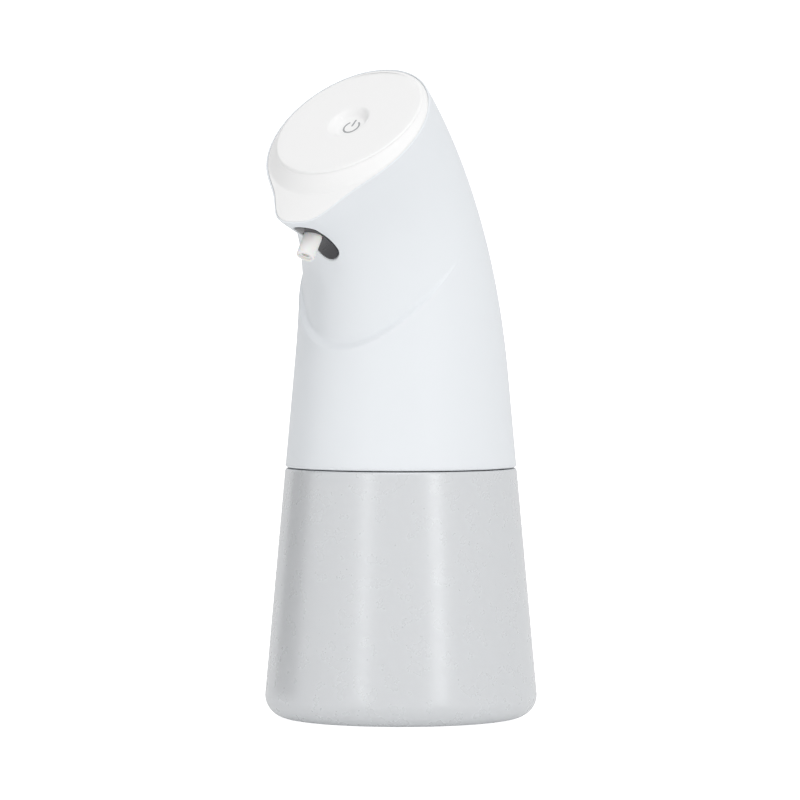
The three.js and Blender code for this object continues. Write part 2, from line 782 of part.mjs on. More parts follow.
const PORTS_X = -GEAR_DISTANCE / 2;
const PORT_Y = 3.3;
const OUTLET = { z: 104, tip: -14.6, radius: 1.9, bore: 1.1 };

function pumpOutline() {
  return roundedRectangle(PUMP.width, PUMP.depth, PUMP.corner);
}

function gearPockets(radius, bottom, top) {
  return [0, -GEAR_DISTANCE].map((x) => moved(rod(radius, bottom, top, 24), x, 0));
}

function pumpScrewHoles(bottom, top) {
  return PUMP_SCREWS.map(([x, y]) => moved(rod(SCREW.shank + GAP, bottom, top, 8), x, y));
}

function forwardRod(radius, z, from, to) {
  return rod(radius, -from, -to, 12).rotateX(Math.PI / 2).translate(PORTS_X, 0, z);
}

function pumpBody() {
  const tip = GEAR.module * (GEAR.teeth / 2 + 1);
  const inletZ = 98.9;
  const channel = block([PORTS_X - 1, 1], [-1, PORT_Y], [inletZ - 1, inletZ + 1]);
  return carve(extruded(pumpOutline(), PUMP.bottom, PUMP.top, 3), {
    added: [forwardRod(OUTLET.radius, OUTLET.z, OUTLET.tip, -PUMP.depth / 2 + 1)],
    removed: [
      ...gearPockets(tip + GAP, POCKET_FLOOR, PUMP.top + 1),
      ...pumpScrewHoles(PUMP.bottom - 1, PUMP.top + 1),
      rod(TUBE.radius + GAP, PUMP.bottom - 1, TUBE.top + GAP, 16),
      channel,
      moved(rod(1.3, inletZ, POCKET_FLOOR + 1, 10), PORTS_X, PORT_Y),
      forwardRod(OUTLET.bore, OUTLET.z, OUTLET.tip - 1, -1),
      moved(rod(SHAFT_RADIUS + GAP, POCKET_FLOOR - 1.4, POCKET_FLOOR + 1, 12), -GEAR_DISTANCE, 0),
    ],
  });
}

addPart('pump_body', pumpBody(), GREY_MOULDING);

// A can section: a circle with a flat on the front and on the back.
function canSection(radius, flat) {
  const corner = Math.asin(flat / radius);
  const shape = new THREE.Shape();
  shape.absarc(0, 0, radius, -corner, corner, false);
  shape.absarc(0, 0, radius, Math.PI - corner, Math.PI + corner, false);
  return shape;
}

const SEAL_SEAT = { radius: 3.5, top: COVER_BOTTOM + 1.5 };

function pumpCover() {
  const sleeveWall = 1.5;
  const sleeve = extruded(
    canSection(MOTOR.radius + GAP + sleeveWall, MOTOR.flat + GAP + sleeveWall),
    COVER_TOP - 0.5,
    SLEEVE_TOP,
    6,
  );
  const seat = extruded(canSection(MOTOR.radius + GAP, MOTOR.flat + GAP), COVER_TOP, SLEEVE_TOP + 1, 6);
  return carve(extruded(pumpOutline(), COVER_BOTTOM, COVER_TOP, 3), {
    added: [sleeve],
    removed: [
      seat,
      ...pumpScrewHoles(COVER_BOTTOM - 1, COVER_TOP + 1),
      rod(SEAL_SEAT.radius, COVER_BOTTOM - 1, SEAL_SEAT.top, 20),
      rod(SHAFT_RADIUS + 0.6, COVER_BOTTOM, COVER_TOP + 1, 16),
      moved(rod(SHAFT_RADIUS + GAP, COVER_BOTTOM - 1, COVER_BOTTOM + 1.6, 12), -GEAR_DISTANCE, 0),
    ],
  });
}

addPart('pump_cover', pumpCover(), GREY_MOULDING);
addPart(
  'shaft_seal',
  ring(SHAFT_RADIUS + GAP, SEAL_SEAT.radius - GAP, COVER_BOTTOM + 0.1, SEAL_SEAT.top - 0.2, 16),
  SILICONE,
);

// An involute-like tooth: `flank` gives the half angle of the tooth at each radius.
function gear(firstToothAngle) {
  const pitchRadius = (GEAR.teeth * GEAR.module) / 2;
  const rootRadius = pitchRadius - 1.2 * GEAR.module;
  const tipRadius = pitchRadius + 0.95 * GEAR.module;
  const pressureAngle = radians(22);
  const baseRadius = pitchRadius * Math.cos(pressureAngle);
  const involute = (radius) => {
    const angle = Math.acos(Math.min(1, baseRadius / radius));
    return Math.tan(angle) - angle;
  };
  const backlash = 0.16;
  const pitchHalf = Math.PI / (2 * GEAR.teeth) - backlash / pitchRadius;
  const flank = (radius) => pitchHalf + involute(pitchRadius) - involute(radius);
  const radii = [rootRadius, baseRadius + 0.05, pitchRadius, tipRadius];
  const side = radii.map((radius) => [radius, flank(Math.max(radius, baseRadius))]);
  const points = [];
  for (let tooth = 0; tooth < GEAR.teeth; tooth += 1) {
    const middle = firstToothAngle + (2 * Math.PI * tooth) / GEAR.teeth;
    const rising = side.map(([radius, half]) => [radius, middle - half]);
    const falling = side.map(([radius, half]) => [radius, middle + half]).reverse();
    for (const [radius, angle] of [...rising, ...falling]) {
      points.push(new THREE.Vector2(radius * Math.cos(angle), radius * Math.sin(angle)));
    }
  }
  const shape = new THREE.Shape(points);
  const hole = new THREE.Path();
  hole.absarc(0, 0, GEAR.bore, 0, 2 * Math.PI, true);
  shape.holes.push(hole);
  return extruded(shape, POCKET_FLOOR + GAP, POCKET_FLOOR + GAP + GEAR.height, 4);
}

addPart('drive_gear', gear(0), ACETAL);
addPart('idler_gear', moved(gear(Math.PI / GEAR.teeth), -GEAR_DISTANCE, 0), ACETAL);
addPart(
  'idler_pin',
  moved(rod(SHAFT_RADIUS, POCKET_FLOOR - 1.2, COVER_BOTTOM + 1.4, 12), -GEAR_DISTANCE, 0),
  STEEL,
);

// ---------- motor ----------

const MOTOR_TOP = MOTOR.bottom + MOTOR.length;
const END_CAP = { bottom: MOTOR_TOP - 2.4, top: MOTOR_TOP + 0.8 };
const ROTOR = { radius: 5.4, bottom: MOTOR.bottom + 4, top: MOTOR_TOP - 8 };

function motorCan() {
  const body = extruded(canSection(MOTOR.radius, MOTOR.flat), MOTOR.bottom, MOTOR_TOP, 6);
  const inside = extruded(
    canSection(MOTOR.radius - MOTOR.wall, MOTOR.flat - MOTOR.wall),
    MOTOR.bottom + MOTOR.wall,
    MOTOR_TOP + 1,
    6,
  );
  return carve(body, { removed: [inside, rod(SHAFT_RADIUS + GAP, MOTOR.bottom - 1, MOTOR.bottom + 3, 12)] });
}

function motorEndCap() {
  const margin = MOTOR.wall + GAP;
  const section = canSection(MOTOR.radius - margin, MOTOR.flat - margin);
  const cap = extruded(section, END_CAP.bottom, END_CAP.top, 6);
  return carve(cap, { removed: [rod(SHAFT_RADIUS + GAP, END_CAP.bottom - 1, END_CAP.bottom + 1.8, 12)] });
}

// The armature: a round core with three winding slots.
function motorRotor() {
  const core = ring(SHAFT_RADIUS + 0.1, ROTOR.radius, ROTOR.bottom, ROTOR.top, 24);
  const slots = [0, 1, 2].map((k) => {
    const slot = block([ROTOR.radius - 2, ROTOR.radius + 1], [-0.7, 0.7], [ROTOR.bottom - 1, ROTOR.top + 1]);
    return slot.rotateZ((2 * Math.PI * k) / 3);
  });
  return carve(core, { removed: slots });
}

function magnet(middleAngle) {
  const half = radians(42);
  const shape = new THREE.Shape();
  shape.absarc(0, 0, MOTOR.radius - MOTOR.wall - GAP, -half, half, false);
  shape.absarc(0, 0, ROTOR.radius + 0.6, half, -half, true);
  return extruded(shape, ROTOR.bottom, ROTOR.top, 5).rotateZ(middleAngle);
}

addPart('motor_can', motorCan(), STEEL);
addPart('motor_end_cap', motorEndCap(), CHIP_BLACK);
addPart('motor_rotor', motorRotor(), COPPER);
addPart('motor_magnet_a', magnet(0), CHIP_BLACK);
addPart('motor_magnet_b', magnet(Math.PI), CHIP_BLACK);
addPart('motor_shaft', rod(SHAFT_RADIUS, POCKET_FLOOR + 0.4, END_CAP.bottom + 1.5, 12), STEEL);

// ---------- cell and its cradle ----------

const CELL_BACK = CELL.front + CELL.depth;
const CRADLE = { width: CELL.width + 2 * GAP, wall: 1.5, bottom: 95.6, top: 127 };
const BOARD_SCREWS = [[-9.6, 115], [9.6, 115]];

function cell() {
  const outline = roundedRectangle(CELL.width, CELL.depth, 2.2);
  const pouch = extruded(outline, CELL.bottom, CELL.bottom + CELL.height, 3);
  return pouch.translate(0, CELL.front + CELL.depth / 2, 0);
}

function rearwardRod(radius, from, to, x, z) {
  return rod(radius, -to, -from, 10).rotateX(Math.PI / 2).translate(x, 0, z);
}

function cradle() {
  const half = CRADLE.width / 2;
  const back = CELL_BACK + GAP;
  const box = block(
    [-half - CRADLE.wall, half + CRADLE.wall],
    [CELL.front, back + CRADLE.wall],
    [CRADLE.bottom, CRADLE.top],
  );
  const room = block([-half, half], [CELL.front - 1, back], [CELL.bottom - GAP, CRADLE.top + 1]);
  const posts = BOARD_SCREWS.map(([x, z]) => rearwardRod(2, back + 1, BOARD.y - GAP, x, z));
  const holes = BOARD_SCREWS.map(([x, z]) => rearwardRod(1 + GAP / 2, back - 1, BOARD.y + 1, x, z));
  return carve(box, { added: posts, removed: [room, ...holes] });
}

addPart('battery_pouch', cell(), CELL_FOIL);
addPart('battery_cradle', cradle(), GREY_MOULDING);

// ---------- main board and what it carries ----------

const BOARD_BACK = BOARD.y + BOARD_THICK;
const HEADER = { bottom: BOARD.top + 0.2, top: BOARD.top + 4.2 };

function mainBoard() {
  const plate = block([-BOARD.width / 2, BOARD.width / 2], [BOARD.y, BOARD_BACK], [BOARD.bottom, BOARD.top]);
  const holes = BOARD_SCREWS.map(([x, z]) => rearwardRod(1.2, BOARD.y - 1, BOARD_BACK + 1, x, z));
  return carve(plate, { removed: holes });
}

function chargeSocket() {
  const front = BOARD_BACK + 0.1;
  const shell = extruded(roundedRectangle(PORT.width, PORT.height, 1.3), 0, PORT.depth, 3);
  const mouth = extruded(roundedRectangle(PORT.width - 0.8, PORT.height - 0.8, 0.9), 1, PORT.depth + 1, 3);
  const tongue = block([-3.2, 3.2], [-0.35, 0.35], [0.5, PORT.depth - 0.8]);
  const socket = carve(shell, { removed: [mouth] });
  return carve(socket, { added: [tongue] }).rotateX(-Math.PI / 2).translate(0, front, PORT_Z);
}

addPart('main_board', mainBoard(), BOARD_GREEN);
addPart('charge_socket', chargeSocket(), STEEL);
addPart('control_chip', block([-2.5, 2.5], [BOARD_BACK + 0.1, BOARD_BACK + 1], [108.5, 113.5]), CHIP_BLACK);
addPart(
  'lead_header',
  block([-BOARD.width / 2, BOARD.width / 2], [BOARD.y - 0.6, BOARD_BACK + 0.9], [HEADER.bottom, HEADER.top]),
  WHITE_SHELL,
);
BOARD_SCREWS.forEach(([x, z], k) => {
  const small = screw(BOARD_BACK + 0.1, CELL_BACK + GAP + 0.2, { shank: 0.8, head: 1.6, headHeight: 1.1 });
  addPart(`board_screw_${k + 1}`, small.rotateX(-Math.PI / 2).translate(x, 0, z), STEEL);
});

// ---------- port cover: a soft flap in the housing's recess, with a plug for the socket ----------

function portCover() {
  const outer = coneRadius(FLAP.bottom);
  const half = FLAP.width / 2;
  const slab = block([-half, half], [coneRadius(FLAP.top) - FLAP.thick, outer + 1], [FLAP.bottom, FLAP.top]);
  const cone = turned([[0, 90], [coneRadius(90), 90], [coneRadius(110), 110], [0, 110]], 72);
  const plugTip = coneRadius(PORT_Z) - FLAP.thick - 1.4;
  const plug = block([-3.6, 3.6], [plugTip, outer - FLAP.thick], [PORT_Z - 0.9, PORT_Z + 0.9]);
  return carve(common(slab, cone), { added: [plug] });
}

addPart('port_cover', portCover(), SILICONE);

// ---------- outlet hose ----------

function onNozzle(distance) {
  const point = NOZZLE_PLANE.origin.clone().addScaledVector(NOZZLE_PLANE.normal, distance);
  return point.toArray();
}

const HOSE = { radius: 3.1, bore: 2.2 };
const hosePoints = [
  [PORTS_X, -PUMP.depth / 2 - 0.6, OUTLET.z],
  [PORTS_X, -15, OUTLET.z],
  [PORTS_X + 0.2, -18.4, OUTLET.z + 1.6],
  [PORTS_X + 0.8, -20.2, OUTLET.z + 6],
  [PORTS_X + 2.2, -20.6, OUTLET.z + 20],
  [PORTS_X + 4, -21.4, OUTLET.z + 38],
  [-0.1, -24.6, 155.5],
  [0, -30.5, 161.6],
  [0, -36.4, 161.5],
  onNozzle(BARB.top - 1.5),
  onNozzle(BARB.top + 2),
  onNozzle(BARB.top + 5.2),
];

addPart('outlet_hose', alongCurve(hosePoints, HOSE.radius, 26, { bore: HOSE.bore, sides: 10 }), SILICONE);

// ---------- inner leads ----------

// Every lead runs over the cell to the header on the main board, at its own x.
function leadEnd(x) {
  const y = BOARD.y + BOARD_THICK / 2;
  return [[x, 19, 142.2], [x, 22.6, 137.5], [x, y, 131], [x, y, HEADER.top + 0.3]];
}

const MOTOR_LEAD_TOP = 141.5;
const motorLeads = { motor_lead_a: [-3.6, 0.6], motor_lead_b: [3.6, 3.6] };
for (const [name, [startX, endX]] of Object.entries(motorLeads)) {
  const points = [
    [startX, 3, END_CAP.top + 0.3], [startX, 3.2, 139.4], [startX, 7, MOTOR_LEAD_TOP],
    [(startX + endX) / 2, 13, 143], ...leadEnd(endX),
  ];
  addPart(name, alongCurve(points, WIRE_RADIUS, 16), CHIP_BLACK);
}

const CELL_TOP = CELL.bottom + CELL.height;
const cellLeads = { battery_lead_a: -9.6, battery_lead_b: -7.2 };
for (const [name, x] of Object.entries(cellLeads)) {
  const y = CELL_BACK - 2;
  const points = [
    [x, y, CELL_TOP + 0.3], [x, y + 0.7, CELL_TOP + 1.9], [x, y + 2.8, CELL_TOP + 1.4],
    [x, BOARD.y - 0.9, CELL_TOP - 2], [x, BOARD.y + 0.3, 130.5],
    [x, BOARD.y + BOARD_THICK / 2, HEADER.top + 0.3],
  ];
  addPart(name, alongCurve(points, WIRE_RADIUS, 10), CHIP_BLACK);
}

const sensorLeadPoints = [
  [6, -33.2, 154.4], [6.4, -31, 156.4], [7.4, -24, 155.5], [8, -12, 150.5], [8, 4, 147], [8, 13, 145.2],
  ...leadEnd(8),
];
addPart('sensor_lead', alongCurve(sensorLeadPoints, WIRE_RADIUS, 26), CHIP_BLACK);

const touchLeadPoints = [
  [-8, -15.6, 178.6], [-8, -14, 175], [-7.2, -8, 166], [-5.6, 2, 156], [-4.4, 10, 148.6], [-4, 14.5, 145.2],
  ...leadEnd(-4),
];
addPart('touch_lead', alongCurve(touchLeadPoints, WIRE_RADIUS, 24), CHIP_BLACK);

export default dispenser;
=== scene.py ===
"""Looks of the automatic soap dispenser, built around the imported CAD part.

Shapes are worked out in millimetres and turned into metres when a mesh is made.
+Z is up, -Y is the front, and the origin is the centre of the bottle's foot.
"""

import json
import math

import bmesh
import bpy
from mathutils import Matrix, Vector
from mathutils.bvhtree import BVHTree


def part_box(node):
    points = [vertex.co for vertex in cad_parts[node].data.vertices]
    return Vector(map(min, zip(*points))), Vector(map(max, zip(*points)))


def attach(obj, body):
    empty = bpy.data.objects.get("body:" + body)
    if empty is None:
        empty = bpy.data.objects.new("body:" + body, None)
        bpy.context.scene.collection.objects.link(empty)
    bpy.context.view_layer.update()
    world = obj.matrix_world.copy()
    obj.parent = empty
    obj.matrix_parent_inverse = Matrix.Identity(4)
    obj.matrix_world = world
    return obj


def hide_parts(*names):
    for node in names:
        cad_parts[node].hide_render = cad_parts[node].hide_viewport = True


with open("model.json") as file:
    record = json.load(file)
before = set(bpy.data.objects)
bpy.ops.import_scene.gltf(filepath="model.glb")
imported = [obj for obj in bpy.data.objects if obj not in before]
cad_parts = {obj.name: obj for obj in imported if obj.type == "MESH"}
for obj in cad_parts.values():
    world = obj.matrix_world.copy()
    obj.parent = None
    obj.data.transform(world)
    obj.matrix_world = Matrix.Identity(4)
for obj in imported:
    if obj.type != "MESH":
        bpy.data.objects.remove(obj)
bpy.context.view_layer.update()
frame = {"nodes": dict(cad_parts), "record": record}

MM = 0.001

# ---------- driving dimensions, as in the CAD part ----------


def lowest(node):
    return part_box(node)[0] / MM


def highest(node):
    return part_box(node)[1] / MM


GAP = 0.3
WALL = 2.2
FOOT_RADIUS = 42.9
TAPER = 0.09
FOOT_ROUND = 7
FLOOR_CORNER = 4
SEAM_ROUND = 0.8
SEAM_Z = lowest("housing").z - GAP / 2

RIM_RADIUS = 27.6
BEAK_REACH = 11.8
BEAK_HALF_ANGLE = math.radians(20.5)
BEAK_EDGE = 3.25
BEAK_UNDERSIDE = 30
LIP = 0.9
LIP_DRAFT = 1
POCKET_DEPTH = 2.8

LEDGE_Z = 154
LEDGE_SLOPE = 1.22
LEDGE_DEPTH = 1.8
LEDGE_HEIGHT = 2.4                    # the CAD part has 4, with coarser rings
LEDGE_FADE = (math.radians(40), math.radians(82))

PANEL_SHIFT = -2.5
PANEL_RISE = 1.95
PANEL_TILT = 4.7
PANEL_RADIUS = 23.9
PANEL_THICK = 2.2
DISH_RADIUS = 7.2
DISH_FLAT = 4
DISH_DEPTH = 2.3

WINDOW_LENGTH = 18.8
WINDOW_WIDTH = 7.3
NOZZLE_RADIUS = 2.85
NOZZLE_REACH = 7.3

NECK_RADIUS = 21.5
NECK_BORE = 19.3
NECK_TOP = highest("bottle").z
LUG_COUNT = 3
LUG_ARC = math.radians(44)
LUG_BOTTOM = 84.8
LUG_HEIGHT = 2.6
LUG_DEPTH = 2.1

# ---------- small mathematics ----------


def smoothstep(value, low, high):
    share = min(1, max(0, (value - low) / (high - low)))
    return share * share * (3 - 2 * share)


def signed_angle(azimuth):
    return math.atan2(math.sin(azimuth), math.cos(azimuth))


def full_turn(count):
    return [2 * math.pi * k / count for k in range(count)]


def halved(is_below, steps=24):
    """The share from 0 to 1 where is_below turns false, found by halving."""
    low, high = 0.0, 1.0
    for _ in range(steps):
        middle = (low + high) / 2
        if is_below(middle):
            low = middle
        else:
            high = middle
    return low


class Plane:
    """A plane that leans forward by tilt degrees: down runs down its front, normal stands on it."""

    def __init__(self, y, z, tilt):
        angle = math.radians(tilt)
        self.origin = Vector((0, y, z))
        self.down = Vector((0, -math.cos(angle), -math.sin(angle)))
        self.normal = Vector((0, -math.sin(angle), math.cos(angle)))

    def at(self, azimuth, radius, height=0, shift=0):
        """The point at a polar place on the plane, with azimuth 0 down the front."""
        point = self.origin + self.down * (shift + radius * math.cos(azimuth))
        point += self.normal * height
        point.x += radius * math.sin(azimuth)
        return point

    def spot(self, across, along, height=0):
        """The point `across` to +X and `along` back up the plane."""
        point = self.origin - self.down * along + self.normal * height
        point.x += across
        return point

    def height_of(self, point):
        return (point - self.origin).dot(self.normal)


UPRIGHT = Plane(0, 0, 0)
RIM = Plane(-27.6, 181, 45.9)
PANEL = Plane(0, 0, 45.9 - PANEL_TILT)
PANEL.origin = RIM.at(0, 0, PANEL_RISE, PANEL_SHIFT)
WINDOW = Plane(-43.4, 147.5, 180 - 29)
NOZZLE = Plane(-45.4, 148.7, 180 - 32.5)

# ---------- meshes ----------


def skin(rings, joined=False):
    """A closed skin over rings of points. Joined rings close on the first one, others end in flat faces."""
    mesh = bmesh.new()
    rows = [[mesh.verts.new(point) for point in ring] for ring in rings]
    pairs = list(zip(rows, rows[1:]))
    if joined:
        pairs.append((rows[-1], rows[0]))
    else:
        mesh.faces.new(list(reversed(rows[0])))
        mesh.faces.new(rows[-1])
    for low, high in pairs:
        for k in range(len(low)):
            after = (k + 1) % len(low)
            mesh.faces.new((low[k], low[after], high[after], high[k]))
    bmesh.ops.remove_doubles(mesh, verts=mesh.verts, dist=1e-5)
    bmesh.ops.recalc_face_normals(mesh, faces=mesh.faces)
    if mesh.calc_volume(signed=True) < 0:
        bmesh.ops.reverse_faces(mesh, faces=mesh.faces)
    return mesh


def mesh_object(name, mesh):
    bmesh.ops.scale(mesh, vec=(MM, MM, MM), verts=mesh.verts)
    data = bpy.data.meshes.new(name)
    mesh.to_mesh(data)
    mesh.free()
    obj = bpy.data.objects.new(name, data)
    bpy.context.scene.collection.objects.link(obj)
    return obj


def combine(obj, meshes, operation):
    """obj with each of the meshes cut away (DIFFERENCE) or joined on (UNION)."""
    for k, mesh in enumerate(meshes):
        tool = mesh_object(f"{obj.name}_tool_{k}", mesh)
        change = obj.modifiers.new("combine", "BOOLEAN")
        change.operation = operation
        change.solver = "EXACT"
        change.object = tool
        graph = bpy.context.evaluated_depsgraph_get()
        result = bpy.data.meshes.new_from_object(obj.evaluated_get(graph))
        obj.modifiers.clear()
        obj.data = result
        bpy.data.objects.remove(tool)
    return obj


def softened(points, steps=4):
    """An outline of (radius, z) corners; a corner (radius, z, round) is rounded off."""
    outline = []
    for k, (radius, z, *size) in enumerate(points):
        corner = Vector((radius, z))
        if not size:
            outline.append(corner)
            continue
        before = Vector(points[k - 1][:2])
        after = Vector(points[(k + 1) % len(points)][:2])
        start = corner + (before - corner).normalized() * size[0]
        end = corner + (after - corner).normalized() * size[0]
        for step in range(steps + 1):
            share = step / steps
            outline.append(start.lerp(corner, share).lerp(corner.lerp(end, share), share))
    return outline


def turned(points, plane=UPRIGHT, segments=96, x=0):
    """An outline turned about a plane's normal. One that doesn't start on the axis closes on itself."""
    outline = softened(points)
    rings = [[plane.at(azimuth, radius, z) for azimuth in full_turn(segments)] for radius, z in outline]
    for ring in rings:
        for point in ring:
            point.x += x
    return skin(rings, joined=outline[0].x > 0)


def rounded_rectangle(width, height, corner, corner_steps=12, side_steps=10):
    """Points around a rounded rectangle centred on the origin, with its straight sides divided too."""
    outline = []
    for quarter in range(4):
        direction = quarter * math.pi / 2
        sign_x = 1 if quarter in (0, 3) else -1
        sign_y = 1 if quarter in (0, 1) else -1
        centre = Vector((sign_x * (width / 2 - corner), sign_y * (height / 2 - corner)))
        for step in range(corner_steps + 1):
            angle = direction + (math.pi / 2) * step / corner_steps
            outline.append(centre + corner * Vector((math.cos(angle), math.sin(angle))))
    divided = []
    for here, after in zip(outline, outline[1:] + outline[:1]):
        divided.append(here)
        if (after - here).length > 2 * corner * math.pi / corner_steps:
            divided += [here.lerp(after, step / side_steps) for step in range(1, side_steps)]
    return divided


def oval(margin):
    width = WINDOW_WIDTH + 2 * margin
    almost_round = 0.99
    return rounded_rectangle(width, WINDOW_LENGTH + 2 * margin, almost_round * width / 2)


# ---------- the body's outer surface ----------


def cone_radius(z):
    return FOOT_RADIUS - TAPER * z


def beak_share(azimuth):
    """Share of the beak in the outline: 1 at the front, and fading to the sides."""
    return 1 / (1 + abs(signed_angle(azimuth) / BEAK_HALF_ANGLE) ** BEAK_EDGE)


def rim_radius(azimuth):
    return RIM_RADIUS + BEAK_REACH * beak_share(azimuth)


def around(azimuth, front, side, back):
    """A value that is front at azimuth 0, side at 90 degrees and back at 180 degrees."""
    c = math.cos(azimuth)
    return side + ((front if c > 0 else back) - side) * c * c


def outward(azimuth):
    return Vector((math.sin(azimuth), -math.cos(azimuth), 0))


def meridian(azimuth, inset):
    """The curve from the top of the cone to the rim, as a function of a share from 0 to 1."""
    cone_top = around(azimuth, 110, 108, 106)
    start = outward(azimuth) * (cone_radius(cone_top) - inset)
    start.z = cone_top
    up_cone = Vector((0, 0, 1)) - outward(azimuth) * TAPER
    end = RIM.at(azimuth, rim_radius(azimuth) - inset)
    beak = beak_share(azimuth)
    climb = math.asin(-RIM.down.y) * (1 - beak) + math.radians(BEAK_UNDERSIDE) * beak
    arrival = Vector((0, -math.cos(climb), math.sin(climb)))
    first = start + up_cone * around(azimuth, 40, 37, 29)
    second = end - arrival * around(azimuth, 12, 27, 36)

    def point(t):
        s = 1 - t
        return start * s**3 + first * (3 * s * s * t) + second * (3 * s * t * t) + end * t**3

    return point


def above_ledge(point):
    """Height of a point over the plane that the ledge lies on."""
    return point.z - (LEDGE_Z + LEDGE_SLOPE * point.y)


def ledge_strength(azimuth):
    return 1 - smoothstep(abs(signed_angle(azimuth)), *LEDGE_FADE)


def ledge_height(azimuth):
    """The height over which the ledge rounds in, lower towards the sides."""
    lowest_share = 0.35
    return LEDGE_HEIGHT * (lowest_share + (1 - lowest_share) * ledge_strength(azimuth))


def body_column(azimuth, inset, top_height):
    """Points up the body at one azimuth, from the joint line to top_height over the rim's plane."""
    cone_rows, lower_rows, upper_rows = 8, 22, 68
    crowding = 1.4                    # the rows lie closer together near the ledge
    curve = meridian(azimuth, inset)
    low_z = SEAM_Z + SEAM_ROUND
    column = []
    for row in range(cone_rows):
        z = low_z + (curve(0).z - low_z) * row / cone_rows
        point = outward(azimuth) * (cone_radius(z) - inset)
        point.z = z
        column.append(point)
    ledge = halved(lambda t: above_ledge(curve(t)) < 0)
    end = halved(lambda t: RIM.height_of(curve(t)) < top_height)
    column += [curve(ledge * row / lower_rows) for row in range(lower_rows)]
    for row in range(upper_rows + 1):
        level = (row / upper_rows) ** crowding
        point = curve(ledge + (end - ledge) * level)
        rounding = smoothstep(above_ledge(point), 0, ledge_height(azimuth))
        depth = LEDGE_DEPTH * ledge_strength(azimuth) * rounding * (1 - level)
        column.append(point - outward(azimuth) * depth)
    return column


BODY_AZIMUTHS = full_turn(288)


def body_rings(inset, top_height):
    """Rings from the joint line up, inset inside the outer surface."""
    columns = [body_column(azimuth, inset, top_height) for azimuth in BODY_AZIMUTHS]
    return [list(ring) for ring in zip(*columns)]


def cone_ring(inset, z):
    return [UPRIGHT.at(azimuth, cone_radius(SEAM_Z) - inset, z) for azimuth in BODY_AZIMUTHS]


def rim_ring(margin, height):
    return [RIM.at(azimuth, rim_radius(azimuth) - margin, height) for azimuth in BODY_AZIMUTHS]


def quarter_round(size, steps=5):
    """(inset, drop) pairs around a rounded edge, from its side to its face."""
    angles = [math.pi / 2 * step / steps for step in range(steps + 1)]
    return [(size * (1 - math.cos(angle)), size * (1 - math.sin(angle))) for angle in angles]


# ---------- procedural materials ----------


class Finish:
    """Builds one node material around a Principled shader."""

    def __init__(self, name):
        self.name = name
        self.material = bpy.data.materials.new(name + "_surface")
        self.material.use_nodes = True
        self.tree = self.material.node_tree
        self.shader = self.tree.nodes["Principled BSDF"]
        self.place = self.node("ShaderNodeTexCoord").outputs["Object"]

    def node(self, kind):
        return self.tree.nodes.new(kind)

    def link(self, source, target):
        self.tree.links.new(source, target)

    def set(self, **values):
        for name, value in values.items():
            self.shader.inputs[name.replace("_", " ")].default_value = value

    def noise(self, size, detail=3.0, place=None):
        """Noise whose features are about size millimetres."""
        noise = self.node("ShaderNodeTexNoise")
        noise.inputs["Scale"].default_value = 1 / (size * MM)
        noise.inputs["Detail"].default_value = detail
        self.link(place or self.place, noise.inputs["Vector"])
        return noise.outputs["Fac"]

    def ranged(self, value, low, high, new_low, new_high):
        span = self.node("ShaderNodeMapRange")
        for name, number in zip(("From Min", "From Max", "To Min", "To Max"), (low, high, new_low, new_high)):
            span.inputs[name].default_value = number
        self.link(value, span.inputs["Value"])
        return span.outputs["Result"]

    def mixed(self, factor, first, second):
        """A colour from first to second; each is a colour or another node's output."""
        mix = self.node("ShaderNodeMix")
        mix.data_type = "RGBA"
        self.link(factor, mix.inputs[0])
        for socket, colour in ((mix.inputs[6], first), (mix.inputs[7], second)):
            if isinstance(colour, bpy.types.NodeSocket):
                self.link(colour, socket)
            else:
                socket.default_value = (*colour, 1)
        return mix.outputs[2]

    def edge_wear_and_highlight(self, low=0.52, high=0.60):
        """1 along outer edges and 0 elsewhere: the edges that are made lighter, partly as wear and partly as
        a painted highlight.
        """
        edges = self.node("ShaderNodeNewGeometry")
        return self.ranged(edges.outputs["Pointiness"], low, high, 0, 1)

    def bump(self, height, depth, before=None):
        """Bump depth in millimetres."""
        bump = self.node("ShaderNodeBump")
        bump.inputs["Distance"].default_value = depth * MM
        self.link(height, bump.inputs["Height"])
        if before:
            self.link(before, bump.inputs["Normal"])
        return bump.outputs["Normal"]


def shaded(colour, factor):
    return tuple(min(1, channel * factor) for channel in colour)


def moulded(slot, colour, roughness, *, grain=0.35, grain_depth=0.008, mottle=14, variation=0.02,
            edge_wear_and_highlight_tint=1.05, spread=0.06, **sockets):
    """A plain moulded surface. Sizes are in millimetres; the other sockets are set as they are."""
    finish = Finish(slot)
    tint = finish.mixed(
        finish.noise(mottle), shaded(colour, 1 - variation), shaded(colour, 1 + variation)
    )
    # Outer edges get a lighter colour: partly wear, partly a painted highlight along the edges.
    edges_worn_and_lit = finish.mixed(finish.edge_wear_and_highlight(), tint, shaded(colour, edge_wear_and_highlight_tint))
    finish.link(edges_worn_and_lit, finish.shader.inputs["Base Color"])
    patches = finish.ranged(finish.noise(mottle / 3), 0.3, 0.7, roughness - spread, roughness + spread)
    finish.link(patches, finish.shader.inputs["Roughness"])
    finish.link(finish.bump(finish.noise(grain), grain_depth), finish.shader.inputs["Normal"])
    finish.set(**sockets)
    return finish


